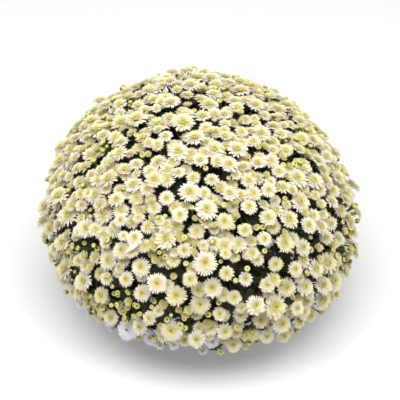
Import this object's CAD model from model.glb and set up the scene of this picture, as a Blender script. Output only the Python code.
"""Pot chrysanthemum: smooth pot, soil, branches, leaves and flowers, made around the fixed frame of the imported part.

Run as a script, it registers its operators and calls them in order. Metres, +Z up, the pot's base on the floor.
"""

import math
import random

import bmesh
import bpy
import numpy as np
from bpy.props import FloatProperty, FloatVectorProperty, IntProperty, PointerProperty
from bpy.types import Operator, Panel, PropertyGroup
from mathutils import Matrix, Quaternion, Vector


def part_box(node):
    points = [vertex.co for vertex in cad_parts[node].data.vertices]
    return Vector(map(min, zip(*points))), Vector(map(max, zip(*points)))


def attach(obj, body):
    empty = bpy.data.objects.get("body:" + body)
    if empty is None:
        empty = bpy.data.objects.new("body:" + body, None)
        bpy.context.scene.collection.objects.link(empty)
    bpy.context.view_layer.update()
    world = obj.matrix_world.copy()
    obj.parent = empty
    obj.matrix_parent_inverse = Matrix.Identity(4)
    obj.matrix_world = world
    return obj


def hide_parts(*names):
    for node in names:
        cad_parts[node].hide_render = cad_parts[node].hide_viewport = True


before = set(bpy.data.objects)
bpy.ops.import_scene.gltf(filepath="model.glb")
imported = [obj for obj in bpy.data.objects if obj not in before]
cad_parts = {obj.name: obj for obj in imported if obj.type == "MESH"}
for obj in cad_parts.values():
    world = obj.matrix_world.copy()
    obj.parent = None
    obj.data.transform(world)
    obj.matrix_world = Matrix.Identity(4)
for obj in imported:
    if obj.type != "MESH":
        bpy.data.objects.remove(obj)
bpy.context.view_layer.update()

bl_info = {
    "name": "Pot Chrysanthemum",
    "version": (1, 0, 0),
    "blender": (4, 5, 0),
    "location": "View3D > Sidebar > Plant",
    "description": "Makes the pot, soil, branches, leaves and flowers of a cushion-shaped chrysanthemum",
    "category": "Object",
}

UP = Vector((0, 0, 1))
GOLDEN_TURN = math.pi * (3 - math.sqrt(5))

# The cushion, its sprays and its cuttings, as the part has them
CUSHION_RADIUS = 0.263
CUSHION_RISE = 0.236
CUSHION_CENTRE_Z = 0.160
CUSHION_DROP = 0.088
HEAD_COUNT = 420
HEAD_SEED = 47
HEAD_WANDER = 0.0045
HEAD_DEPTH_SPREAD = 0.005
HEAD_SPACING = 1.04
PARTING_ROUNDS = 12
SPRAY_PULL = 0.045
HALF_OPEN_SHARE = 0.11
BUD_SHARE = 0.10
FACE_UP_SHARE = 0.42
FACE_WANDER = 0.16
HEAD_SIZE_SPREAD = 0.10
SPRAY_COUNT = 44
SPRAY_LOWEST = 0.93
FAN_CENTRE_Z = 0.190
KNOT_DEPTH_SHARE = 0.74
KNOT_RADIUS = 0.0070
KNOT_FLAT_SHARE = math.sqrt((5 + 2 * math.sqrt(5)) / 15)  # how far out a flat face of a twenty-sided ball lies
KNOT_GAP = 0.0003
STALK_ROOT_DEPTH = 0.004
STALK_PULL = 1.5
STALK_REACHES = (0.35, 0.30)
CUTTING_COUNT = 6
CUTTING_RING_RADIUS = 0.058
CUTTING_RING_TILT = math.radians(74)
CUTTING_RING_TURN = math.radians(20)
BRANCH_RISE = 1.5
BRANCH_FIRST_REACH = 0.062
BRANCH_LAST_REACH = 0.036
SOIL_TOP = 0.144
STEM_DEPTH = 0.055
CROWN_ABOVE_SOIL = 0.019
HEAD_RADII = {"open": 0.0172, "half_open": 0.0092, "bud": 0.0042, "small": 0.0136}
HEAD_DEPTHS = {"open": 0.0075, "half_open": 0.0090, "bud": 0.0085, "small": 0.0065}

# The cushion's natural lean: the most that a head lies further out or in, and the axis that it follows
LOPSIDED_BY = 0.0055
LOPSIDED_AXIS = Vector((0, 0.616, 0.788))

# The younger flowers and buds between the main ones
YOUNG_SEED = 7
YOUNG_CHOICES = {"small": 7, "half_open": 6, "bud": 6}
YOUNG_SIZES = {"small": (0.72, 1.14), "half_open": (0.62, 1.00), "bud": (0.82, 1.25)}
YOUNG_DEPTHS = {"small": (-0.013, 0.001), "half_open": (-0.004, 0.006), "bud": (-0.008, 0.009)}
YOUNG_UPPER_SHARE = {"small": 0.70, "half_open": 0.45, "bud": 0.42}
DENSE_ABOVE = 0.42
TUCK_UNDER = (0.1, 1.1)
YOUNG_FACE_WANDER = FACE_WANDER * 1.5

# Where flowers have a blue cast
CHILL_BELOW = 0.108
CHILL_FROM = math.radians(-150)
CHILL_TO = math.radians(-84)
CHILL_SHARE = 0.6
CHILL_STRENGTHS = (0.7, 1.0)

# The loose petal that lies on the front left of the cushion
LOOSE_PETAL_HEIGHT_SHARE = 0.435
LOOSE_PETAL_TURN = math.radians(-116.4)
LOOSE_PETAL_DIRECTION = Vector((0.77, 0.0, 0.64))
LOOSE_PETAL_LENGTH = 0.028
LOOSE_PETAL_WIDTH = 0.0100
LOOSE_PETAL_ARCH = (0.0, 0.06, 0.05, 0.0)
LOOSE_PETAL_ABOVE = 0.009

# How the flowers are built up: each ring's petal count, root radius, root height, lean, length and width
BLOOM_RINGS = (
    (28, 0.0030, -0.0026, math.radians(2), 0.0152, 0.0035),
    (25, 0.0028, -0.0017, math.radians(12), 0.0134, 0.0034),
    (21, 0.0026, -0.0008, math.radians(24), 0.0110, 0.0031),
    (17, 0.0024, 0.0000, math.radians(38), 0.0084, 0.0028),
    (12, 0.0020, 0.0006, math.radians(58), 0.0054, 0.0022),
)
SMALL_RINGS = (
    (22, 0.0024, -0.0020, math.radians(4), 0.0118, 0.0032),
    (19, 0.0023, -0.0011, math.radians(16), 0.0100, 0.0030),
    (15, 0.0020, -0.0003, math.radians(32), 0.0076, 0.0027),
    (10, 0.0017, 0.0003, math.radians(54), 0.0050, 0.0022),
)
CUP_RINGS = (
    (16, 0.0026, -0.0050, math.radians(36), 0.0080, 0.0030),
    (13, 0.0022, -0.0044, math.radians(50), 0.0068, 0.0027),
    (10, 0.0018, -0.0038, math.radians(66), 0.0054, 0.0023),
)
# How far each ring's petals rise at their stations, as a share of their length
BLOOM_ARCHES = ((0.0, 0.10, 0.07, 0.02), (0.0, 0.08, 0.06), (0.0, 0.05, 0.08), (0.0, 0.0, 0.10), (0.0, -0.04, 0.14))
SMALL_ARCHES = ((0.0, 0.08, 0.03), (0.0, 0.07, 0.06), (0.0, 0.02, 0.08), (0.0, -0.03, 0.12))
CUP_ARCHES = ((0.0, -0.06, 0.10), (0.0, -0.08, 0.12), (0.0, -0.08, 0.14))
FLOWER_KINDS = {
    # rings, arches, how many variants, the eye's size, points and height, the calyx's radius, the outer ring's rank
    "open": (BLOOM_RINGS, BLOOM_ARCHES, 5, 1.0, (0.16, 0.05), 0.0008, 0.0048, 0.0),
    "small": (SMALL_RINGS, SMALL_ARCHES, 5, 0.95, (0.16,), 0.0006, 0.0040, 0.0),
    "half_open": (CUP_RINGS, CUP_ARCHES, 3, 0.95, (0.16,), -0.0026, 0.0042, 0.5),
}
BUD_OPENNESS = (0.2, 0.7, 1.0, 1.0)
FLOWER_SEED = 11
HEAD_LOOKS_SEED = 23
BLOOM_FULLNESS = (0.74, 1.16)

# Where a petal's stations lie along it and its width at each, by how many stations it has
PETAL_STATIONS = {4: (0.0, 0.58, 0.88, 1.0), 3: (0.0, 0.68, 1.0)}
PETAL_WIDTHS = {4: (0.30, 1.00, 0.74, 0.10), 3: (0.40, 1.00, 0.10)}
PETAL_THICKNESS = 0.00034
PETAL_CREASE = math.radians(60)
PETAL_TWIST = 0.12
PETAL_TWIST_WANDER = 0.10
PETAL_TURN_WANDER = 0.16
PETAL_TILT_WANDER = math.radians(10)
PETAL_SIZES = (0.86, 1.06)
PETAL_RANK_WANDER = (-0.10, 0.20)
DISC_RADIUS = 0.0046
DISC_FLATNESS = 0.62
DISC_TURN = (0.35, 0.2, 0)
DISC_CUT_SHARE = 0.2
DISC_SINK = (0.45, 0.22)
DISC_CREASE = math.radians(35)
CALYX_FOOT_RADIUS = 0.0011
CALYX_STEPS = ((0.25, 1.9), (0.30, 1.45))
CALYX_TOP_RISE = 0.20
BUD_STRETCH = 1.08
BUD_DIMPLE_DEPTH = 0.65
BUD_DIMPLE_WIDTH = 0.3
BUD_SPREAD = 0.25
BUD_TIP = 0.02
BUD_SHOULDER = 0.6


def colour(red, green, blue):
    """A colour's linear values from its values as seen on screen, 0 to 255."""
    linear = []
    for value in (red, green, blue):
        share = value / 255
        linear.append(share / 12.92 if share <= 0.04045 else ((share + 0.055) / 1.055) ** 2.4)
    return (*linear, 1.0)


# ---- settings


class FlowerSettings(PropertyGroup):
    young_blooms: IntProperty(
        name="Young blooms", description="Smaller open flowers between the main ones", default=560, min=0
    )
    young_cups: IntProperty(
        name="Young cups", description="Half-open flowers between the main ones", default=190, min=0
    )
    young_buds: IntProperty(name="Young buds", description="Buds between the flowers", default=350, min=0)
    petal_colour: FloatVectorProperty(
        name="Petals", description="Colour of the outer petals", default=colour(250, 245, 230), size=4, subtype="COLOR"
    )
    heart_colour: FloatVectorProperty(
        name="Heart", description="Colour of the inner petals", default=colour(232, 224, 150), size=4, subtype="COLOR"
    )
    disc_colour: FloatVectorProperty(
        name="Disc", description="Colour of the flower's eye", default=colour(212, 195, 90), size=4, subtype="COLOR"
    )
    calyx_colour: FloatVectorProperty(
        name="Calyx", description="Colour of the stalks, calyces and young buds", default=colour(96, 108, 48), size=4,
        subtype="COLOR",
    )
    stalk_radius: FloatProperty(
        name="Stalk radius", description="Half the thickness of a flower stalk", default=0.0010, unit="LENGTH",
        precision=4,
    )


class LeafSettings(PropertyGroup):
    length: FloatProperty(
        name="Leaf length", description="Length of a leaf's blade", default=0.046, unit="LENGTH", precision=4
    )
    branch_leaves: IntProperty(
        name="Leaves on a branch", description="Leaves along the upper part of each branch", default=8, min=0
    )
    stalk_leaves: IntProperty(
        name="Leaves among stalks", description="Leaves among the flower stalks of each spray", default=26, min=0
    )
    leaf_colour: FloatVectorProperty(
        name="Leaf", description="Colour of a leaf's upper side", default=colour(32, 35, 9), size=4, subtype="COLOR"
    )
    vein_colour: FloatVectorProperty(
        name="Vein", description="Colour of a leaf's veins", default=colour(56, 61, 23), size=4, subtype="COLOR"
    )
    stem_colour: FloatVectorProperty(
        name="Stem", description="Colour of the branches", default=colour(78, 84, 42), size=4, subtype="COLOR"
    )
    branch_radius: FloatProperty(
        name="Branch radius", description="Half the thickness of a branch at its foot", default=0.0026, unit="LENGTH",
        precision=4,
    )


class PotSettings(PropertyGroup):
    height: FloatProperty(
        name="Height", description="Height of the pot", default=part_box("pot")[1].z, unit="LENGTH", precision=4
    )
    top_radius: FloatProperty(
        name="Top radius", description="Outer radius of the rim", default=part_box("pot")[1].x, unit="LENGTH", precision=4
    )
    base_radius: FloatProperty(
        name="Base radius", description="Outer radius of the foot", default=0.0848, unit="LENGTH", precision=4
    )
    wall: FloatProperty(name="Wall", description="Thickness of the wall", default=0.0022, unit="LENGTH", precision=4)
    pot_colour: FloatVectorProperty(
        name="Pot", description="Colour of the pot's plastic", default=colour(48, 48, 49), size=4, subtype="COLOR"
    )
    soil_colour: FloatVectorProperty(
        name="Soil", description="Colour of the soil", default=colour(40, 30, 24), size=4, subtype="COLOR"
    )


class StudioSettings(PropertyGroup):
    elevation: FloatProperty(
        name="Elevation", description="Angle at which the camera looks down", default=math.radians(38),
        subtype="ANGLE", unit="ROTATION",
    )
    distance: FloatProperty(
        name="Distance", description="From the camera to the cushion's middle", default=3.0, unit="LENGTH"
    )
    focal_length: FloatProperty(name="Focal length", description="Lens of the camera in mm", default=158.0)
    floor_colour: FloatVectorProperty(
        name="Floor", description="Colour of the floor", default=(0.80, 0.80, 0.80, 1.0), size=4, subtype="COLOR"
    )
    floor_glow: FloatProperty(
        name="Floor glow", description="Light that the floor gives off, as a light table does", default=0.22
    )
    top_light: FloatProperty(name="Top light", description="Power of the light overhead in watts", default=106.0)
    sky: FloatProperty(name="Sky", description="Strength of the light from all round", default=0.26)


# ---- selecting and modelling

CLOSE = 1e-5  # two places this near count as one


def deselect_all():
    if bpy.context.object and bpy.context.object.mode != "OBJECT":
        bpy.ops.object.mode_set(mode="OBJECT")
    bpy.ops.object.select_all(action="DESELECT")


def take(obj):
    """Makes an object the only selected one, and the active one."""
    deselect_all()
    obj.select_set(True)
    bpy.context.view_layer.objects.active = obj
    return obj


def start_shaping(name):
    """Takes the primitive that was just added into edit mode, with its place in its mesh and all of it selected."""
    obj = bpy.context.object
    obj.name = name
    bpy.ops.object.transform_apply(location=True, rotation=True, scale=True)
    bpy.ops.object.mode_set(mode="EDIT")
    bpy.ops.mesh.select_mode(type="VERT")
    bpy.ops.mesh.select_all(action="SELECT")
    return obj


def stop_shaping(obj, outward=True):
    if outward:
        bpy.ops.mesh.select_all(action="SELECT")
        bpy.ops.mesh.normals_make_consistent(inside=False)
    bpy.ops.object.mode_set(mode="OBJECT")
    return obj


def pick(obj, test):
    """Selects the vertices in edit mode whose place passes a test."""
    bpy.ops.mesh.select_all(action="DESELECT")
    bm = bmesh.from_edit_mesh(obj.data)
    for vert in bm.verts:
        vert.select_set(test(vert.co))
    bm.select_flush(True)
    bmesh.update_edit_mesh(obj.data)


def pick_faces(obj, test):
    bpy.ops.mesh.select_all(action="DESELECT")
    bm = bmesh.from_edit_mesh(obj.data)
    for face in bm.faces:
        face.select_set(test(face.calc_center_median(), face.normal))
    bmesh.update_edit_mesh(obj.data)


def shift(x, y, z):
    bpy.ops.transform.translate(value=(x, y, z))


def resize(x, y, z, centre):
    bpy.ops.transform.resize(value=(x, y, z), center_override=centre)


def extrude(x, y, z):
    bpy.ops.mesh.extrude_region_move(TRANSFORM_OT_translate={"value": (x, y, z)})


def apply_modifier(obj, kind, **settings):
    take(obj)
    made = obj.modifiers.new(kind.lower(), kind)
    for key, value in settings.items():
        setattr(made, key, value)
    bpy.ops.object.modifier_apply(modifier=made.name)


def smooth(obj, angle=None):
    take(obj)
    if angle is None:
        bpy.ops.object.shade_smooth()
    else:
        bpy.ops.object.shade_smooth_by_angle(angle=angle)


def mark(mesh, name, values):
    """Gives every vertex of a mesh a number that its material reads: one for all, or one each."""
    layer = mesh.attributes.get(name) or mesh.attributes.new(name, "FLOAT", "POINT")
    if isinstance(values, (int, float)):
        values = [values] * len(mesh.vertices)
    layer.data.foreach_set("value", values)


def dress(obj, *surfaces):
    obj.data.materials.clear()
    for surface in surfaces:
        obj.data.materials.append(surface)


def copy_of(model, place, name):
    """A copy of a modelled piece with its own mesh, put in its place."""
    mesh = model.data.copy()
    mesh.transform(place)
    made = bpy.data.objects.new(name, mesh)
    bpy.context.collection.objects.link(made)
    return made


def join_all(objects, name):
    deselect_all()
    for obj in objects:
        obj.select_set(True)
    bpy.context.view_layer.objects.active = objects[0]
    if len(objects) > 1:
        bpy.ops.object.join()
    made = bpy.context.object
    made.name = name
    made.data.name = name
    return made


def throw_away(*objects):
    for obj in objects:
        mesh = obj.data
        bpy.data.objects.remove(obj, do_unlink=True)
        if mesh.users == 0:
            bpy.data.meshes.remove(mesh)


def turned_to(axis, point, spin=0.0, size=1.0):
    """The place of something that stands along an axis at a point, turned on it and scaled."""
    turn = UP.rotation_difference(axis) @ Quaternion(UP, spin)
    return Matrix.Translation(point) @ turn.to_matrix().to_4x4() @ Matrix.Scale(size, 4)


def settle(piece, nodes):
    """Rides a finished piece on the plant's one body, in place of its nodes."""
    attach(piece, "root")
    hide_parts(*nodes)


# ---- layout of the plant


def cushion_point(height_share, turn):
    """A point on the cushion and the outward direction there. The share is the cosine of the angle from the top."""
    ring = math.sqrt(max(0.0, 1 - height_share**2))
    flat = Vector((math.cos(turn), math.sin(turn), 0)) * ring
    point = flat * CUSHION_RADIUS + UP * (CUSHION_CENTRE_Z + CUSHION_RISE * height_share)
    outward = flat / CUSHION_RADIUS + UP * (height_share / CUSHION_RISE)
    return point, outward.normalized()


def spiral(count, lowest):
    lowest_share = -lowest * CUSHION_DROP / CUSHION_RISE
    for i in range(count):
        height_share = 1 - (i + 0.5) / count * (1 - lowest_share)
        yield cushion_point(height_share, i * GOLDEN_TURN)


class Head:
    """A flower, a half-open flower or a bud: its rim's centre, its facing, its kind and its size."""

    def __init__(self, point, facing, kind, size):
        self.point = point
        self.facing = facing
        self.kind = kind
        self.size = size

    def foot(self):
        return self.point - self.facing * HEAD_DEPTHS[self.kind] * self.size


class Spray:
    """A knot at the end of a branch, and the heads that it carries."""

    def __init__(self, centre):
        self.centre = centre
        fan = Vector((0, 0, FAN_CENTRE_Z))
        self.axis = (centre - fan).normalized()
        self.knot = fan + (centre - fan) * KNOT_DEPTH_SHARE
        self.heads = []


def wander(draw, size):
    return Vector([draw.uniform(-1, 1) for _ in range(3)]) * size


def head_kind(draw):
    chance = draw.random()
    if chance < BUD_SHARE:
        return "bud"
    if chance < BUD_SHARE + HALF_OPEN_SHARE:
        return "half_open"
    return "open"


def part_crowded(heads):
    """Moves heads that lie closer than their own widths apart, as the part does."""
    places = np.array([head.point for head in heads])
    widths = np.array([HEAD_RADII[head.kind] * head.size for head in heads])
    wanted = (widths[:, None] + widths[None]) * HEAD_SPACING
    np.fill_diagonal(wanted, 0)
    for _ in range(PARTING_ROUNDS):
        offset = places[:, None] - places[None]
        apart = np.linalg.norm(offset, axis=2) + 1e-9
        push = np.clip(wanted - apart, 0, None) / apart / 2
        places += (offset * push[..., None]).sum(1)
    for head, place in zip(heads, places):
        head.point = Vector(place)


def lopsided(point, outward):
    """A head's place once the cushion is a little fuller to the back left and the front right, as a real one is."""
    rise = outward.dot(LOPSIDED_AXIS)
    return point - outward * (2 * outward.x * rise * LOPSIDED_BY)


def nearest_spray(point, sprays):
    return min(sprays, key=lambda spray: (point - spray.centre).length)


def lay_out_sprays():
    """The sprays and main heads where the part has them, but for the cushion's small lean."""
    draw = random.Random(HEAD_SEED)
    sprays = [Spray(point) for point, _ in spiral(SPRAY_COUNT, SPRAY_LOWEST)]
    for point, outward in spiral(HEAD_COUNT, 1.0):
        spray = nearest_spray(point, sprays)
        point = point + wander(draw, HEAD_WANDER) + outward * draw.uniform(-1, 1) * HEAD_DEPTH_SPREAD
        point = point.lerp(spray.centre, SPRAY_PULL)
        facing = outward.lerp(UP, FACE_UP_SHARE) + wander(draw, FACE_WANDER)
        kind = head_kind(draw)
        size = 1 + draw.uniform(-1, 1) * HEAD_SIZE_SPREAD
        spray.heads.append(Head(point, facing.normalized(), kind, size))
    part_crowded([head for spray in sprays for head in spray.heads])
    for spray in sprays:
        for head in spray.heads:
            head.point = lopsided(head.point, (head.point - UP * CUSHION_CENTRE_Z).normalized())
    return sprays


def add_young_heads(sprays, counts):
    """Smaller flowers and buds where the main ones leave the most room, but low down the flowers tuck under others."""
    draw = random.Random(YOUNG_SEED)
    heads = [head for spray in sprays for head in spray.heads]
    places = [tuple(head.point) for head in heads]
    reaches = [HEAD_RADII[head.kind] * head.size for head in heads]
    for kind, count in counts.items():
        for _ in range(count):
            size = draw.uniform(*YOUNG_SIZES[kind])
            reach = HEAD_RADII[kind] * size
            upper = draw.random() < YOUNG_UPPER_SHARE[kind]
            tuck = draw.uniform(*TUCK_UNDER)
            levels = (DENSE_ABOVE, 1.0) if upper else (-CUSHION_DROP / CUSHION_RISE, DENSE_ABOVE)
            taken = np.array(places)
            widths = np.array(reaches)
            best = None
            for _ in range(YOUNG_CHOICES[kind]):
                point, outward = cushion_point(draw.uniform(*levels), draw.uniform(-math.pi, math.pi))
                room = (np.linalg.norm(taken - np.array(point), axis=1) - widths).min() - reach
                if kind == "small" and not upper:
                    room = -abs(room + tuck * reach)
                if best is None or room > best[0]:
                    best = (room, point, outward)
            _, point, outward = best
            point = lopsided(point, outward) + outward * draw.uniform(*YOUNG_DEPTHS[kind])
            facing = outward.lerp(UP, FACE_UP_SHARE) + wander(draw, YOUNG_FACE_WANDER)
            nearest_spray(point, sprays).heads.append(Head(point, facing.normalized(), kind, size))
            places.append(tuple(point))
            reaches.append(reach)


def lay_out_plant():
    flowers = bpy.context.scene.plant_flowers
    sprays = lay_out_sprays()
    counts = {"small": flowers.young_blooms, "half_open": flowers.young_cups, "bud": flowers.young_buds}
    add_young_heads(sprays, counts)
    return sprays


def cutting_places():
    """Where each cutting stands, and the direction in which its branches spread."""
    places = [(Vector((0, 0, 0)), UP)]
    count = CUTTING_COUNT - 1
    for i in range(count):
        turn = CUTTING_RING_TURN + 2 * math.pi * i / count
        flat = Vector((math.cos(turn), math.sin(turn), 0))
        spread = flat * math.sin(CUTTING_RING_TILT) + UP * math.cos(CUTTING_RING_TILT)
        places.append((flat * CUTTING_RING_RADIUS, spread))
    return places


def owner_of(spray, places):
    return max(range(len(places)), key=lambda i: spray.axis.dot(places[i][1]))


def branch_route(place, spray):
    """The four points of the curve that a branch follows from its crown to its spray."""
    crown = place + UP * (SOIL_TOP + CROWN_ABOVE_SOIL)
    end = spray.knot - spray.axis * (KNOT_RADIUS * KNOT_FLAT_SHARE + KNOT_GAP)
    leaving = (UP * BRANCH_RISE + (end - crown).normalized()).normalized()
    return (crown, crown + leaving * BRANCH_FIRST_REACH, end - spray.axis * BRANCH_LAST_REACH, end)


def stalk_route(spray, head):
    """The four points of the curve that a flower stalk follows from its knot to its flower's foot."""
    foot = head.foot()
    length = (foot - spray.knot).length
    root = spray.knot - spray.axis * STALK_ROOT_DEPTH
    leaving = (spray.axis + (foot - spray.knot).normalized() * STALK_PULL).normalized()
    first, last = STALK_REACHES
    return (root, root + leaving * length * first, foot - head.facing * length * last, foot)


def bezier(ends, share):
    a, b, c, d = ends
    rest = 1 - share
    point = a * rest**3 + b * 3 * rest**2 * share + c * 3 * rest * share**2 + d * share**3
    onward = (b - a) * rest**2 + (c - b) * 2 * rest * share + (d - c) * share**2
    return point, onward.normalized()


# ---- surfaces

PETAL_BLOTCH = colour(238, 230, 218)
CHILLED_PETAL = colour(240, 241, 255)
GREENISH_EYE = colour(198, 194, 92)
EYE_SPECKLE = colour(224, 210, 120)
EYE_CORE = colour(116, 112, 34)
DARK_CALYX = colour(64, 80, 34)
PALE_BUD = colour(222, 216, 128)
BUD_DIMPLE = colour(132, 122, 40)
LIGHT_LEAF = colour(42, 47, 13)
DARK_LEAF = colour(18, 22, 7)
STEM_STREAK = colour(104, 92, 58)
POT_DUST = colour(92, 88, 80)
SOIL_CRUMB = colour(84, 64, 48)
MIDRIB_WIDTH = 0.09
VEIN_SLANT = 0.75
VEIN_WAVES = 34.0
VEIN_FROM = 0.86


def new_surface(name, roughness):
    surface = bpy.data.materials.new(name)
    surface.use_nodes = True
    shader = surface.node_tree.nodes["Principled BSDF"]
    shader.inputs["Roughness"].default_value = roughness
    return surface, surface.node_tree, shader


def add_node(tree, kind, inputs=(), **settings):
    made = tree.nodes.new(kind)
    for key, value in settings.items():
        setattr(made, key, value)
    for key, value in dict(inputs).items():
        if isinstance(value, bpy.types.NodeSocket):
            tree.links.new(value, made.inputs[key])
        else:
            made.inputs[key].default_value = value
    return made


def blend_colours(tree, share, first, second, way="MIX"):
    mix = add_node(tree, "ShaderNodeMix", data_type="RGBA", blend_type=way)
    for index, value in ((0, share), (6, first), (7, second)):
        if isinstance(value, bpy.types.NodeSocket):
            tree.links.new(value, mix.inputs[index])
        else:
            mix.inputs[index].default_value = value
    return mix.outputs[2]


def reading(tree, name):
    return add_node(tree, "ShaderNodeAttribute", attribute_name=name).outputs["Fac"]


def spread_range(tree, value, low, high, to_low=0.0, to_high=1.0):
    inputs = {"Value": value, "From Min": low, "From Max": high, "To Min": to_low, "To Max": to_high}
    return add_node(tree, "ShaderNodeMapRange", inputs).outputs["Result"]


def noise(tree, scale, detail=2.0):
    where = add_node(tree, "ShaderNodeTexCoord").outputs["Object"]
    return add_node(tree, "ShaderNodeTexNoise", {"Vector": where, "Scale": scale, "Detail": detail}).outputs["Fac"]


def add_bump(tree, shader, height, strength, distance):
    bump = add_node(tree, "ShaderNodeBump", {"Height": height, "Strength": strength, "Distance": distance})
    tree.links.new(bump.outputs["Normal"], shader.inputs["Normal"])


def calculate(tree, operation, *values):
    return add_node(tree, "ShaderNodeMath", dict(enumerate(values)), operation=operation).outputs[0]


def paint(tree, shader, finished):
    tree.links.new(finished, shader.inputs["Base Color"])


def petal_surface(settings):
    surface, tree, shader = new_surface("petals", 0.62)
    shader.inputs["Subsurface Weight"].default_value = 0.12
    shader.inputs["Subsurface Radius"].default_value = (1.0, 0.9, 0.6)
    shader.inputs["Subsurface Scale"].default_value = 0.003
    shader.inputs["Specular IOR Level"].default_value = 0.3
    rank = reading(tree, "petal_rank")
    reach = reading(tree, "petal_reach")
    tint = reading(tree, "flower_tint")
    body = blend_colours(tree, rank, settings.petal_colour, settings.heart_colour)
    root_share = spread_range(tree, reach, 0.0, 0.45, 0.70, 0.0)
    body = blend_colours(tree, root_share, body, settings.heart_colour)
    tinted = blend_colours(tree, spread_range(tree, tint, 0.4, 1.0, 0.0, 0.4), body, settings.heart_colour)
    blotch = spread_range(tree, noise(tree, 260.0), 0.3, 0.7, 0.0, 0.3)
    blotched = blend_colours(tree, blotch, tinted, PETAL_BLOTCH, "MULTIPLY")
    finished = blend_colours(tree, reading(tree, "flower_chill"), blotched, CHILLED_PETAL)
    paint(tree, shader, finished)
    add_bump(tree, shader, noise(tree, 900.0, 3.0), 0.25, 0.0003)
    return surface


def disc_surface(settings):
    surface, tree, shader = new_surface("flower_eye", 0.75)
    tint = reading(tree, "flower_tint")
    ring = blend_colours(tree, tint, settings.disc_colour, GREENISH_EYE)
    speckle = spread_range(tree, noise(tree, 1500.0), 0.35, 0.65, 0.0, 0.6)
    speckled = blend_colours(tree, speckle, ring, EYE_SPECKLE)
    core = spread_range(tree, reading(tree, "eye_reach"), 0.20, 0.70, 1.0, 0.0)
    finished = blend_colours(tree, core, speckled, EYE_CORE)
    paint(tree, shader, finished)
    return surface


def calyx_surface(settings):
    surface, tree, shader = new_surface("calyx_green", 0.6)
    patch = noise(tree, 180.0)
    finished = blend_colours(tree, patch, settings.calyx_colour, DARK_CALYX)
    paint(tree, shader, finished)
    return surface


def bud_surface(settings):
    surface, tree, shader = new_surface("bud_scales", 0.6)
    height = reading(tree, "petal_reach")
    pale = blend_colours(tree, spread_range(tree, height, 0.40, 0.60), settings.calyx_colour, PALE_BUD)
    dark = blend_colours(tree, spread_range(tree, height, 0.80, 0.90), pale, BUD_DIMPLE)
    paint(tree, shader, dark)
    return surface


def leaf_surface(settings):
    surface, tree, shader = new_surface("leaf_green", 0.58)
    shader.inputs["Specular IOR Level"].default_value = 0.3
    across = reading(tree, "leaf_across")
    along = reading(tree, "leaf_along")
    tint = reading(tree, "leaf_tint")
    off_middle = calculate(tree, "ABSOLUTE", across)
    midrib = spread_range(tree, off_middle, 0.0, MIDRIB_WIDTH, 1.0, 0.0)
    combed = calculate(tree, "MULTIPLY_ADD", off_middle, -VEIN_SLANT, along)
    waves = calculate(tree, "SINE", calculate(tree, "MULTIPLY", combed, VEIN_WAVES))
    veins = calculate(tree, "MAXIMUM", midrib, spread_range(tree, waves, VEIN_FROM, 1.0))
    body = blend_colours(tree, tint, settings.leaf_colour, LIGHT_LEAF)
    patched = blend_colours(tree, spread_range(tree, noise(tree, 90.0), 0.3, 0.7, 0.0, 0.4), body, DARK_LEAF)
    veined = blend_colours(tree, spread_range(tree, veins, 0.0, 1.0, 0.0, 0.6), patched, settings.vein_colour)
    paint(tree, shader, veined)
    add_bump(tree, shader, veins, 0.35, -0.0006)
    return surface


def stem_surface(settings):
    surface, tree, shader = new_surface("stem_green", 0.6)
    stretched = add_node(tree, "ShaderNodeTexCoord").outputs["Object"]
    mapped = add_node(tree, "ShaderNodeMapping", {"Vector": stretched, "Scale": (1.0, 1.0, 0.25)}).outputs["Vector"]
    streaks = add_node(tree, "ShaderNodeTexNoise", {"Vector": mapped, "Scale": 420.0, "Detail": 3.0}).outputs["Fac"]
    finished = blend_colours(tree, streaks, settings.stem_colour, STEM_STREAK)
    paint(tree, shader, finished)
    add_bump(tree, shader, streaks, 0.4, 0.0004)
    return surface


def pot_surface(settings):
    surface, tree, shader = new_surface("pot_plastic", 0.42)
    dust = spread_range(tree, noise(tree, 26.0, 5.0), 0.45, 0.75, 0.0, 0.35)
    finished = blend_colours(tree, dust, settings.pot_colour, POT_DUST)
    paint(tree, shader, finished)
    worn = spread_range(tree, noise(tree, 70.0, 4.0), 0.3, 0.7, 0.34, 0.55)
    tree.links.new(worn, shader.inputs["Roughness"])
    add_bump(tree, shader, noise(tree, 1400.0), 0.12, 0.0002)
    return surface


def soil_surface(settings):
    surface, tree, shader = new_surface("peat_soil", 0.95)
    crumbs = spread_range(tree, noise(tree, 240.0, 4.0), 0.35, 0.7)
    finished = blend_colours(tree, crumbs, settings.soil_colour, SOIL_CRUMB)
    paint(tree, shader, finished)
    add_bump(tree, shader, noise(tree, 500.0, 5.0), 0.8, 0.002)
    return surface


# ---- flowers


def model_petal(name, length, width, arch, surface):
    """A closed petal along +X from the origin, flat above a low keel, that rises as its arch says at each station."""
    stations = PETAL_STATIONS[len(arch)]
    widths = PETAL_WIDTHS[len(arch)]
    deselect_all()
    upright = (0, math.pi / 2, 0)
    bpy.ops.mesh.primitive_circle_add(vertices=3, radius=1 / math.sqrt(3), fill_type="NGON", rotation=upright)
    obj = start_shaping(name)
    resize(1, width * widths[0], PETAL_THICKNESS, (0, 0, 0))
    for i in range(1, len(stations)):
        extrude((stations[i] - stations[i - 1]) * length, 0, 0)
        resize(1, widths[i] / widths[i - 1], 1, (stations[i] * length, 0, 0))
    for i, rise in enumerate(arch):
        x = stations[i] * length
        pick(obj, lambda co: abs(co.x - x) < CLOSE)
        shift(0, 0, rise * length)
        if i in (0, len(stations) - 1):
            bpy.ops.mesh.merge(type="CENTER")
    stop_shaping(obj)
    smooth(obj, PETAL_CREASE)
    mark(obj.data, "petal_reach", [vert.co.x / length for vert in obj.data.vertices])
    dress(obj, surface)
    return obj


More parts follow.
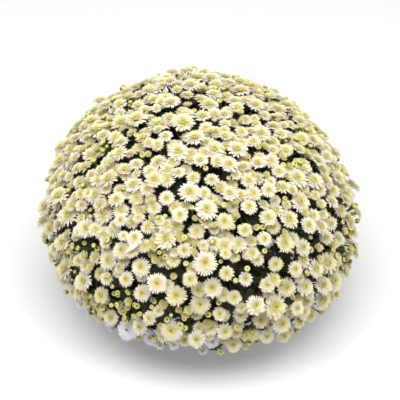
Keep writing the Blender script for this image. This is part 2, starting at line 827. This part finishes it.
def model_disc(name, radius, surface, pokes):
    """The flower's eye: a low dome of little pointed florets, sunk at its middle where they are still closed."""
    deselect_all()
    bpy.ops.mesh.primitive_ico_sphere_add(subdivisions=1, radius=radius, rotation=DISC_TURN)
    obj = start_shaping(name)
    resize(1, 1, DISC_FLATNESS, (0, 0, 0))
    bpy.ops.mesh.select_all(action="SELECT")
    low = (0, 0, -radius * DISC_CUT_SHARE)
    bpy.ops.mesh.bisect(plane_co=low, plane_no=(0, 0, 1), use_fill=True, clear_inner=True)
    pick_faces(obj, lambda centre, normal: normal.z > 0.1)
    for offset in pokes:
        bpy.ops.mesh.poke(offset=radius * offset)
    reach, depth = DISC_SINK
    pick(obj, lambda co: math.hypot(co.x, co.y) < radius * reach and co.z > 0)
    shift(0, 0, -radius * depth)
    stop_shaping(obj)
    smooth(obj, DISC_CREASE)
    mark(obj.data, "eye_reach", [math.hypot(vert.co.x, vert.co.y) / radius for vert in obj.data.vertices])
    dress(obj, surface)
    return obj


def model_calyx(name, radius, depth, surface):
    """A green cup under a flower, from its stalk up to its petals."""
    deselect_all()
    foot = (0, 0, -depth)
    bpy.ops.mesh.primitive_circle_add(vertices=8, radius=CALYX_FOOT_RADIUS, fill_type="NGON", location=foot)
    obj = start_shaping(name)
    for rise, ratio in CALYX_STEPS:
        extrude(0, 0, rise * depth)
        resize(ratio, ratio, 1, (0, 0, 0))
    extrude(0, 0, depth * CALYX_TOP_RISE)
    bpy.ops.mesh.merge(type="CENTER")
    stop_shaping(obj)
    smooth(obj)
    dress(obj, surface)
    width = max(vert.co.x for vert in obj.data.vertices)
    obj.data.transform(Matrix.Diagonal((radius / width, radius / width, 1, 1)))
    return obj


def ring_of(model, count, root_radius, root_height, lean, rank, draw, first_turn):
    """Copies of a petal round the flower's axis, each a little different."""
    made = []
    for i in range(count):
        turn = first_turn + 2 * math.pi * (i + draw.uniform(-PETAL_TURN_WANDER, PETAL_TURN_WANDER)) / count
        tilt = lean + draw.uniform(-1, 1) * PETAL_TILT_WANDER
        size = draw.uniform(*PETAL_SIZES)
        place = (
            Matrix.Rotation(turn, 4, "Z")
            @ Matrix.Translation((root_radius, 0, root_height))
            @ Matrix.Rotation(-tilt, 4, "Y")
            @ Matrix.Rotation(PETAL_TWIST + draw.uniform(-PETAL_TWIST_WANDER, PETAL_TWIST_WANDER), 4, "X")
            @ Matrix.Scale(size, 4)
        )
        petal = copy_of(model, place, "petal")
        mark(petal.data, "petal_rank", min(1.0, max(0.0, rank + draw.uniform(*PETAL_RANK_WANDER))))
        made.append(petal)
    return made


def model_flower(name, rings, petals, draw, disc, disc_height, calyx, first_rank):
    """A flower from its rings of petals, its eye and its calyx. Its rim lies at the origin and it faces +Z."""
    pieces = []
    for i, (ring, petal) in enumerate(zip(rings, petals)):
        count, root_radius, root_height, lean, _, _ = ring
        rank = first_rank + (1 - first_rank) * (i / (len(rings) - 1)) ** 2
        pieces += ring_of(petal, count, root_radius, root_height, lean, rank, draw, draw.uniform(0, math.tau))
    pieces.append(copy_of(disc, Matrix.Translation((0, 0, disc_height)), "eye"))
    pieces.append(copy_of(calyx, Matrix.Identity(4), "calyx"))
    return join_all(pieces, name)


def model_bud(name, openness, surface):
    """A round bud that stands on +Z, its top dimpled as its petals begin to part."""
    deselect_all()
    radius = HEAD_RADII["bud"]
    middle = -HEAD_DEPTHS["bud"] * 0.5
    bpy.ops.mesh.primitive_uv_sphere_add(segments=10, ring_count=7, radius=radius, location=(0, 0, middle))
    obj = start_shaping(name)
    resize(1, 1, BUD_STRETCH, (0, 0, middle))
    top = middle + radius * BUD_STRETCH
    hollow = radius * BUD_DIMPLE_WIDTH
    pick(obj, lambda co: co.z > top - radius * BUD_TIP)
    shift(0, 0, -radius * BUD_DIMPLE_DEPTH * openness)
    pick(obj, lambda co: co.z > top - radius * BUD_SHOULDER and math.hypot(co.x, co.y) > hollow)
    spread = 1 + BUD_SPREAD * openness
    resize(spread, spread, 1, (0, 0, 0))
    stop_shaping(obj)
    smooth(obj)
    low = min(vert.co.z for vert in obj.data.vertices)
    high = max(vert.co.z for vert in obj.data.vertices)
    reach = []
    for vert in obj.data.vertices:
        share = (vert.co.z - low) / (high - low)
        inside = math.hypot(vert.co.x, vert.co.y) < hollow and share > 0.4
        reach.append(1.0 if inside else share * (0.55 + 0.25 * openness))
    mark(obj.data, "petal_reach", reach)
    dress(obj, surface)
    return obj


def model_flowers(settings):
    """Every kind of head, and the loose petal, modelled once: a list of variants for each."""
    surface = petal_surface(settings)
    eye = disc_surface(settings)
    green = calyx_surface(settings)
    buds = bud_surface(settings)
    draw = random.Random(FLOWER_SEED)
    models = {}
    for kind, (rings, arches, variants, eye_size, points, eye_height, calyx_radius, first_rank) in FLOWER_KINDS.items():
        disc = model_disc(f"{kind}_eye_model", DISC_RADIUS * eye_size, eye, points)
        calyx = model_calyx(f"{kind}_calyx_model", calyx_radius, HEAD_DEPTHS[kind], green)
        petals = [
            model_petal(f"{kind}_petal_{i}", length, width, arches[i], surface)
            for i, (*_, length, width) in enumerate(rings)
        ]
        models[kind] = [
            model_flower(f"{kind}_{i}", rings, petals, draw, disc, eye_height, calyx, first_rank)
            for i in range(variants)
        ]
        throw_away(disc, calyx, *petals)
    models["bud"] = [model_bud(f"bud_{i}", openness, buds) for i, openness in enumerate(BUD_OPENNESS)]
    loose_petal = (LOOSE_PETAL_LENGTH, LOOSE_PETAL_WIDTH, LOOSE_PETAL_ARCH)
    models["loose_petal"] = [model_petal("loose_petal_model", *loose_petal, surface)]
    return models


def loose_petal_place():
    """Where the loose petal's root lies, and how it is turned."""
    point, outward = cushion_point(LOOSE_PETAL_HEIGHT_SHARE, LOOSE_PETAL_TURN)
    root = point + outward * LOOSE_PETAL_ABOVE - LOOSE_PETAL_DIRECTION * LOOSE_PETAL_LENGTH / 2
    return leaf_place(root, LOOSE_PETAL_DIRECTION, outward, 1.0)


def chill_of(head, draw):
    """How bluish a flower is: some at the foot of the cushion, to the front and left, are white with a blue cast."""
    turn = math.atan2(head.point.y, head.point.x)
    there = head.point.z < CHILL_BELOW and CHILL_FROM < turn < CHILL_TO
    return draw.uniform(*CHILL_STRENGTHS) if there and draw.random() < CHILL_SHARE else 0.0


class PLANT_OT_flowers(Operator):
    """Make the open flowers, half-open flowers and buds of every spray"""

    bl_idname = "plant.flowers"
    bl_label = "Flowers"

    def execute(self, context):
        models = model_flowers(context.scene.plant_flowers)
        draw = random.Random(HEAD_LOOKS_SEED)
        sprays = lay_out_plant()
        loose_petal = loose_petal_place()
        spray_below = nearest_spray(loose_petal.translation, sprays)
        for number, spray in enumerate(sprays, 1):
            made = [copy_of(models["loose_petal"][0], loose_petal, "loose_petal")] if spray is spray_below else []
            for head in spray.heads:
                model = draw.choice(models[head.kind])
                size = head.size
                if head.kind == "open":
                    low, high = BLOOM_FULLNESS
                    size *= low + (high - low) * draw.random() ** 2
                place = turned_to(head.facing, head.point, draw.uniform(0, math.tau), size)
                flower = copy_of(model, place, "head")
                mark(flower.data, "flower_tint", draw.random())
                mark(flower.data, "flower_chill", chill_of(head, draw))
                made.append(flower)
            piece = join_all(made, f"flowers_{number:02d}")
            settle(piece, [f"flower_spray_{number:02d}"])
        throw_away(*[model for kind in models.values() for model in kind])
        return {"FINISHED"}


# ---- stalks, branches and leaves

CAP_SEAM = 1e-7
TUBE_STAGGER = 2e-6
TUBE_CREASE = math.radians(50)
# Each kind of tube: how thick its tip is beside its foot, how many more points its round has, its steps along
STALK_MAKE = (1.15, 0, 3)
BRANCH_MAKE = (0.72, 2, 14)
STEM_MAKE = (1.5, 2, 6)
STEM_RADIUS = 0.0042
LEAF_SEED = 31
LEAF_DROOPS = (0.10, 0.22, 0.34)
LEAF_EYE_Z = 0.12
LEAF_CENTRE_Z = CUSHION_CENTRE_Z - 0.03
LEAF_CHOICES = 7
LEAF_SIZES = (0.65, 1.05)
LEAF_LEAST_SIZE = 0.4
LEAF_LIMIT = 0.955
LEAF_BEND = 0.25
LEAF_SHRINK = 0.93
LEAF_ONWARD = 0.35
LEAF_OUTWARD = 0.35
LEAF_MIDDLE = 0.55
LEAF_FOLD = 0.30
LEAF_THICKNESS = 0.0006
LEAF_CREASE = math.radians(50)
BRANCH_LEAF_SPAN = (0.45, 1.0)
STALK_LEAF_SPAN = (0.10, 0.80)
LEAF_STEP_SPAN = (0.1, 0.9)
LOW_SPRAY_BELOW = 0.25
LOW_SPRAY_LEAVES = 26
LEAF_WIDEST = 0.37
LEAF_ROWS = (
    # along, half width, how far the outer edge lies ahead of the row's middle
    (0.00, 0.018, 0.00),
    (0.14, 0.070, 0.01),
    (0.28, 0.330, 0.10),
    (0.40, 0.160, 0.00),
    (0.52, LEAF_WIDEST, 0.13),
    (0.64, 0.170, 0.00),
    (0.78, 0.230, 0.10),
    (1.00, 0.006, 0.00),
)


def tubes(name, routes, radius, make, surface):
    """Closed round tubes along curves of four points each, as one mesh. Each starts a hair on from the one before, so
    the seams of its caps can be closed without merging it with a tube from the same root."""
    tip_share, rounding, steps = make
    deselect_all()
    bpy.ops.curve.primitive_bezier_curve_add()
    obj = bpy.context.object
    curve = obj.data
    curve.splines.clear()
    curve.dimensions = "3D"
    curve.bevel_depth = radius
    curve.bevel_resolution = rounding
    curve.use_fill_caps = True
    curve.resolution_u = steps
    for i, (a, b, c, d) in enumerate(routes):
        a = a + (b - a).normalized() * TUBE_STAGGER * i
        spline = curve.splines.new("BEZIER")
        spline.bezier_points.add(1)
        for point, place, before, after, share in (
            (spline.bezier_points[0], a, a * 2 - b, b, 1.0),
            (spline.bezier_points[1], d, c, d * 2 - c, tip_share),
        ):
            point.handle_left_type = "FREE"
            point.handle_right_type = "FREE"
            point.co = place
            point.handle_left = before
            point.handle_right = after
            point.radius = share
    bpy.ops.object.convert(target="MESH")
    obj = start_shaping(name)
    bpy.ops.mesh.remove_doubles(threshold=CAP_SEAM)
    stop_shaping(obj)
    smooth(obj, TUBE_CREASE)
    dress(obj, surface)
    return obj


class PLANT_OT_flower_stalks(Operator):
    """Make the stalks that carry the flowers of every spray"""

    bl_idname = "plant.flower_stalks"
    bl_label = "Flower stalks"

    def execute(self, context):
        settings = context.scene.plant_flowers
        surface = calyx_surface(settings)
        surface.name = "stalk_green"
        for number, spray in enumerate(lay_out_plant(), 1):
            routes = [stalk_route(spray, head) for head in spray.heads]
            piece = tubes(f"flower_stalks_{number:02d}", routes, settings.stalk_radius, STALK_MAKE, surface)
            settle(piece, [f"flower_spray_{number:02d}"])
        return {"FINISHED"}


class PLANT_OT_branches(Operator):
    """Make each cutting's main stem and its branches"""

    bl_idname = "plant.branches"
    bl_label = "Branches"

    def execute(self, context):
        settings = context.scene.plant_leaves
        surface = stem_surface(settings)
        places = cutting_places()
        sprays = lay_out_sprays()
        for number, (place, _) in enumerate(places):
            own = [spray for spray in sprays if owner_of(spray, places) == number]
            routes = [branch_route(place, spray) for spray in own]
            branches = tubes("branch_model", routes, settings.branch_radius, BRANCH_MAKE, surface)
            crown = place + UP * (SOIL_TOP + CROWN_ABOVE_SOIL)
            foot = place + UP * (SOIL_TOP - STEM_DEPTH)
            third = (crown - foot) / 3
            route = (foot, foot + third, crown - third, crown)
            stem = tubes("stem_model", [route], STEM_RADIUS, STEM_MAKE, surface)
            piece = join_all([branches, stem], f"branches_{number + 1:02d}")
            settle(piece, [f"leafy_shoots_{number + 1:02d}"])
        return {"FINISHED"}


def model_leaf(name, length, droop, surface):
    """A lobed leaf along +X on a short stalk, its midrib sunk and its blade arched."""
    deselect_all()
    bpy.ops.mesh.primitive_grid_add(x_subdivisions=1, y_subdivisions=2, size=1)
    obj = start_shaping(name)
    pick(obj, lambda co: co.x < 0)
    bpy.ops.mesh.delete(type="VERT")
    pick(obj, lambda co: True)
    shift(-0.5, 0, 0)
    resize(1, LEAF_ROWS[0][1] * 2 * length, 1, (0, 0, 0))
    for before, (along, half, _) in zip(LEAF_ROWS, LEAF_ROWS[1:]):
        bpy.ops.mesh.extrude_edges_move(TRANSFORM_OT_translate={"value": ((along - before[0]) * length, 0, 0)})
        resize(1, half / before[1], 1, (along * length, 0, 0))
    obj = stop_shaping(obj, outward=False)
    mark(obj.data, "leaf_across", [vert.co.y / (LEAF_WIDEST * length) for vert in obj.data.vertices])
    mark(obj.data, "leaf_along", [vert.co.x / length for vert in obj.data.vertices])
    bpy.ops.object.mode_set(mode="EDIT")
    for along, half, ahead in LEAF_ROWS:
        x = along * length
        pick(obj, lambda co: abs(co.x - x) < CLOSE and abs(co.y) > CLOSE)
        shift(ahead * length, 0, half * length * LEAF_FOLD)
    for along, _, _ in LEAF_ROWS:
        x = along * length
        pick(obj, lambda co: abs(co.x - x) < CLOSE and abs(co.y) < CLOSE)
        shift(0, 0, -droop * along**2 * length)
    for along, half, ahead in LEAF_ROWS:
        x = (along + ahead) * length
        pick(obj, lambda co: abs(co.x - x) < CLOSE and abs(abs(co.y) - half * length) < CLOSE)
        shift(0, 0, -droop * (along + ahead) ** 2 * length)
    stop_shaping(obj)
    apply_modifier(obj, "SOLIDIFY", thickness=LEAF_THICKNESS, offset=0.0)
    smooth(obj, LEAF_CREASE)
    dress(obj, surface)
    return obj


def leaf_place(root, direction, outward, size):
    """A leaf that leaves its root along a direction, with its upper side turned outwards."""
    across = outward.cross(direction).normalized()
    above = direction.cross(across).normalized()
    turn = Matrix((direction, across, above)).transposed().to_4x4()
    return Matrix.Translation(root) @ turn @ Matrix.Scale(size, 4)


def cushion_share(point):
    """How far out a point lies, where 1 is the cushion's surface."""
    level = (point - UP * CUSHION_CENTRE_Z) / CUSHION_RADIUS
    level.z *= CUSHION_RADIUS / CUSHION_RISE
    return level.length


def leaf_on(route, share, turn, length, draw):
    """A leaf's root, direction, outward side and size where it grows from a curve, kept under the flowers."""
    root, onward = bezier(route, share)
    side = Quaternion(onward, turn) @ onward.orthogonal().normalized()
    outward = (root - UP * LEAF_CENTRE_Z).normalized()
    direction = (onward * LEAF_ONWARD + side + outward * LEAF_OUTWARD).normalized()
    size = draw.uniform(*LEAF_SIZES)
    while size > LEAF_LEAST_SIZE and cushion_share(root + direction * length * size) > LEAF_LIMIT:
        direction = (direction - outward * LEAF_BEND).normalized()
        size *= LEAF_SHRINK
    return root, direction, outward, size


def leaves_along(route, count, length, draw):
    """Some leaves along a branch, each a golden angle on from the one before."""
    low, high = BRANCH_LEAF_SPAN
    turn = draw.uniform(0, math.tau)
    found = []
    for i in range(count):
        share = low + (high - low) * (i + draw.uniform(*LEAF_STEP_SPAN)) / count
        found.append(leaf_on(route, share, turn + i * GOLDEN_TURN, length, draw))
    return found


def leaf_middle(leaf, length):
    """Where a leaf's middle lies as seen from the plant's middle."""
    root, direction, _, size = leaf
    return (root + direction * length * size * LEAF_MIDDLE - UP * LEAF_EYE_Z).normalized()


def leaves_among(routes, count, length, draw, middles):
    """Some leaves on any of the curves, each where the leaves so far leave the most room."""
    found = []
    for _ in range(count):
        choices = [
            leaf_on(draw.choice(routes), draw.uniform(*STALK_LEAF_SPAN), draw.uniform(0, math.tau), length, draw)
            for _ in range(LEAF_CHOICES)
        ]
        taken = np.array(middles)
        room = [np.linalg.norm(taken - np.array(leaf_middle(leaf, length)), axis=1).min() for leaf in choices]
        best = choices[room.index(max(room))]
        found.append(best)
        middles.append(tuple(leaf_middle(best, length)))
    return found


class PLANT_OT_leaves(Operator):
    """Make the lobed leaves on the branches and among the flower stalks"""

    bl_idname = "plant.leaves"
    bl_label = "Leaves"

    def execute(self, context):
        settings = context.scene.plant_leaves
        surface = leaf_surface(settings)
        draw = random.Random(LEAF_SEED)
        models = [model_leaf(f"leaf_{i}", settings.length, droop, surface) for i, droop in enumerate(LEAF_DROOPS)]
        places = cutting_places()
        made = [[] for _ in places]
        middles = [(0, 0, -1)]
        for spray in lay_out_plant():
            owner = owner_of(spray, places)
            route = branch_route(places[owner][0], spray)
            found = leaves_along(route, settings.branch_leaves, settings.length, draw)
            stalks = [stalk_route(spray, head) for head in spray.heads]
            count = settings.stalk_leaves + (LOW_SPRAY_LEAVES if spray.centre.z < LOW_SPRAY_BELOW else 0)
            found += leaves_among(stalks, count, settings.length, draw, middles)
            for root, direction, outward, size in found:
                place = leaf_place(root, direction, outward, size)
                leaf = copy_of(draw.choice(models), place, "leaf")
                mark(leaf.data, "leaf_tint", draw.random())
                made[owner].append(leaf)
        for number, leaves in enumerate(made, 1):
            piece = join_all(leaves, f"leaves_{number:02d}")
            settle(piece, [f"leafy_shoots_{number:02d}"])
        throw_away(*models)
        return {"FINISHED"}


# ---- pot and soil

BASE_EDGE = 0.0018
FOOT_RING_TOP = 0.010
FOOT_STEP = 0.0015
FOOT_STEP_IN = 0.0008
RIM_HEIGHT = 0.013
RIM_OVERHANG = 0.0050
RIM_ROLL = (
    # how far in from the rim's outside, how far below its top
    (0.0, 0.0120),
    (0.0, 0.0016),
    (0.0012, 0.0003),
    (0.0026, 0.0),
    (RIM_OVERHANG, 0.0008),
)
COLLAR_HEIGHT = 0.028
COLLAR_STEP = 0.002
WALL_LEVELS = (0.05, 0.10)
INSIDE_DEPTH = 0.06
INSIDE_STEP = 0.2
FLOOR_THICKNESS = 0.0030
DRAIN_RADIUS = 0.0055
DRAIN_RING_RADIUS = 0.062
DRAIN_COUNT = 4
POT_SIDES = 96
POT_CREASE = math.radians(40)
SOIL_GAP = 0.0006
SOIL_SIDES = 72
SOIL_RINGS = 12
SOIL_MIDDLE = 0.012
LUMP_SIZE = 0.012
LUMP_HEIGHT = 0.007
CRUMB_COUNT = 420
CRUMB_SIZES = (0.0012, 0.0036)
CRUMB_HEIGHTS = (-0.0005, 0.0025)
CRUMB_EDGE_GAP = 0.006
CRUMB_SEED = 5
CRUMB_ROUGHNESS = 0.25
SOIL_CREASE = math.radians(60)


class PLANT_OT_pot(Operator):
    """Make the thin-walled plastic pot with its rolled rim, foot ring and drain holes"""

    bl_idname = "plant.pot"
    bl_label = "Pot"

    def execute(self, context):
        settings = context.scene.plant_pot
        base = settings.base_radius
        top = settings.top_radius
        high = settings.height
        wall = settings.wall
        under = high - RIM_HEIGHT
        slope = (top - RIM_OVERHANG - base) / high

        def side(z):
            return base + slope * z

        step = FOOT_RING_TOP + FOOT_STEP
        profile = [(base, BASE_EDGE), (side(FOOT_RING_TOP), FOOT_RING_TOP), (side(step) - FOOT_STEP_IN, step)]
        profile += [(side(z) - FOOT_STEP_IN, z) for z in (*WALL_LEVELS, under - COLLAR_HEIGHT - COLLAR_STEP)]
        profile += [(side(z), z) for z in (under - COLLAR_HEIGHT, under)]
        profile += [(top - inward, high - down) for inward, down in RIM_ROLL]
        profile.append((top - RIM_OVERHANG - slope * INSIDE_DEPTH - wall * INSIDE_STEP, high - INSIDE_DEPTH))
        profile.append((base - wall, FLOOR_THICKNESS))
        deselect_all()
        radius = base - BASE_EDGE
        level = 0.0
        bpy.ops.mesh.primitive_circle_add(vertices=POT_SIDES, radius=radius, fill_type="NGON")
        obj = start_shaping("pot_shell")
        for target, height in profile:
            extrude(0, 0, height - level)
            resize(target / radius, target / radius, 1, (0, 0, 0))
            radius = target
            level = height
        stop_shaping(obj)
        for i in range(DRAIN_COUNT):
            turn = math.pi / 4 + i * math.tau / DRAIN_COUNT
            deselect_all()
            place = (math.cos(turn) * DRAIN_RING_RADIUS, math.sin(turn) * DRAIN_RING_RADIUS, 0)
            bpy.ops.mesh.primitive_cylinder_add(vertices=24, radius=DRAIN_RADIUS, depth=0.02, location=place)
            cutter = bpy.context.object
            apply_modifier(obj, "BOOLEAN", operation="DIFFERENCE", object=cutter, solver="EXACT")
            throw_away(cutter)
        smooth(obj, POT_CREASE)
        dress(obj, pot_surface(settings))
        settle(obj, ["pot"])
        return {"FINISHED"}


class PLANT_OT_soil(Operator):
    """Make the lumpy potting soil with its loose crumbs"""

    bl_idname = "plant.soil"
    bl_label = "Soil"

    def execute(self, context):
        settings = context.scene.plant_pot
        surface = soil_surface(settings)
        low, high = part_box("soil")
        radius = high.x
        brim = radius - SOIL_GAP
        foot = settings.base_radius - settings.wall - SOIL_GAP
        deselect_all()
        middle = (0, 0, SOIL_TOP)
        bpy.ops.mesh.primitive_circle_add(vertices=SOIL_SIDES, radius=brim, fill_type="NGON", location=middle)
        obj = start_shaping("soil_plug")
        for _ in range(SOIL_RINGS):
            bpy.ops.mesh.inset(thickness=(radius - SOIL_MIDDLE) / SOIL_RINGS)
        bpy.ops.mesh.poke()
        pick_faces(obj, lambda centre, normal: True)
        bpy.ops.mesh.normals_make_consistent(inside=False)
        bpy.ops.object.mode_set(mode="OBJECT")
        lumps = bpy.data.textures.new("soil_lumps", "CLOUDS")
        lumps.noise_scale = LUMP_SIZE
        apply_modifier(obj, "DISPLACE", texture=lumps, strength=LUMP_HEIGHT, mid_level=0.5, direction="Z")
        bpy.ops.object.mode_set(mode="EDIT")
        bpy.ops.mesh.select_mode(type="VERT")
        pick(obj, lambda co: math.hypot(co.x, co.y) > brim - CLOSE)
        bpy.ops.mesh.extrude_edges_move(TRANSFORM_OT_translate={"value": (0, 0, low.z - SOIL_TOP)})
        resize(foot / brim, foot / brim, 0, (0, 0, low.z))
        bpy.ops.mesh.edge_face_add()
        stop_shaping(obj)
        draw = random.Random(CRUMB_SEED)
        deselect_all()
        bpy.ops.mesh.primitive_ico_sphere_add(subdivisions=1, radius=1)
        crumb = start_shaping("crumb_model")
        bpy.ops.transform.vertex_random(offset=CRUMB_ROUGHNESS, seed=3)
        stop_shaping(crumb)
        pieces = [obj]
        for _ in range(CRUMB_COUNT):
            turn = draw.uniform(0, math.tau)
            reach = math.sqrt(draw.random()) * (radius - CRUMB_EDGE_GAP)
            size = draw.uniform(*CRUMB_SIZES)
            height = SOIL_TOP + draw.uniform(*CRUMB_HEIGHTS)
            point = Vector((math.cos(turn) * reach, math.sin(turn) * reach, height))
            axis = wander(draw, 1.0).normalized()
            pieces.append(copy_of(crumb, turned_to(axis, point, 0.0, size), "crumb"))
        throw_away(crumb)
        piece = join_all(pieces, "soil_plug")
        smooth(piece, SOIL_CREASE)
        dress(piece, surface)
        settle(piece, ["soil"])
        return {"FINISHED"}


# ---- studio

LIGHT_PLACE = Vector((-0.02, -0.70, 2.5))
LIGHT_AIM = Vector((0, 0, 0.2))
LIGHT_WIDTH = 5.2
LIGHT_DEPTH = 2.1
CAMERA_AIM = Vector((0, 0, CUSHION_CENTRE_Z))
CAMERA_SHIFT = 0.042


class PLANT_OT_studio(Operator):
    """Make the pale floor, the soft light and the camera at the photograph's angle"""

    bl_idname = "plant.studio"
    bl_label = "Studio"

    def execute(self, context):
        settings = context.scene.plant_studio
        deselect_all()
        bpy.ops.mesh.primitive_plane_add(size=40)
        floor = bpy.context.object
        floor.name = "floor"
        surface, _, shader = new_surface("floor_paper", 0.9)
        shader.inputs["Base Color"].default_value = settings.floor_colour
        shader.inputs["Specular IOR Level"].default_value = 0.1
        shader.inputs["Emission Color"].default_value = (1.0, 1.0, 1.0, 1.0)
        shader.inputs["Emission Strength"].default_value = settings.floor_glow
        dress(floor, surface)

        world = bpy.data.worlds.new("studio_sky")
        world.use_nodes = True
        world.node_tree.nodes["Background"].inputs["Color"].default_value = (1.0, 1.0, 1.0, 1.0)
        world.node_tree.nodes["Background"].inputs["Strength"].default_value = settings.sky
        context.scene.world = world

        bpy.ops.object.light_add(type="AREA", location=LIGHT_PLACE)
        light = bpy.context.object
        light.name = "top_light"
        light.data.shape = "ELLIPSE"
        light.data.size = LIGHT_WIDTH
        light.data.size_y = LIGHT_DEPTH
        light.data.energy = settings.top_light
        light.rotation_mode = "QUATERNION"
        light.rotation_quaternion = (LIGHT_PLACE - LIGHT_AIM).to_track_quat("Z", "Y")

        back = Vector((0, -math.cos(settings.elevation), math.sin(settings.elevation)))
        bpy.ops.object.camera_add(location=CAMERA_AIM + back * settings.distance)
        camera = bpy.context.object
        camera.name = "photo_camera"
        camera.rotation_mode = "QUATERNION"
        camera.rotation_quaternion = back.to_track_quat("Z", "Y")
        camera.data.lens = settings.focal_length
        camera.data.sensor_width = 36.0
        camera.data.shift_y = CAMERA_SHIFT
        context.scene.camera = camera
        context.scene.view_settings.view_transform = "Standard"
        return {"FINISHED"}


class PLANT_PT_sidebar(Panel):
    """The plant's operators and settings"""

    bl_idname = "PLANT_PT_sidebar"
    bl_label = "Pot Chrysanthemum"
    bl_space_type = "VIEW_3D"
    bl_region_type = "UI"
    bl_category = "Plant"

    def draw(self, context):
        scene = context.scene
        for group in (scene.plant_pot, scene.plant_leaves, scene.plant_flowers, scene.plant_studio):
            box = self.layout.box()
            for name in group.__annotations__:
                box.prop(group, name)
        for operator in OPERATORS:
            self.layout.operator(operator.bl_idname)


OPERATORS = (
    PLANT_OT_studio,
    PLANT_OT_pot,
    PLANT_OT_soil,
    PLANT_OT_branches,
    PLANT_OT_leaves,
    PLANT_OT_flower_stalks,
    PLANT_OT_flowers,
)
SETTINGS = {
    "plant_flowers": FlowerSettings,
    "plant_leaves": LeafSettings,
    "plant_pot": PotSettings,
    "plant_studio": StudioSettings,
}


def register():
    for cls in (*SETTINGS.values(), *OPERATORS, PLANT_PT_sidebar):
        bpy.utils.register_class(cls)
    for name, cls in SETTINGS.items():
        setattr(bpy.types.Scene, name, PointerProperty(type=cls))


def unregister():
    for name in SETTINGS:
        delattr(bpy.types.Scene, name)
    for cls in (PLANT_PT_sidebar, *reversed(OPERATORS), *SETTINGS.values()):
        bpy.utils.unregister_class(cls)


def main():
    register()
    bpy.ops.plant.studio()
    bpy.ops.plant.pot()
    bpy.ops.plant.soil()
    bpy.ops.plant.branches()
    bpy.ops.plant.leaves()
    bpy.ops.plant.flower_stalks()
    bpy.ops.plant.flowers()


if __name__ == "__main__":
    main()
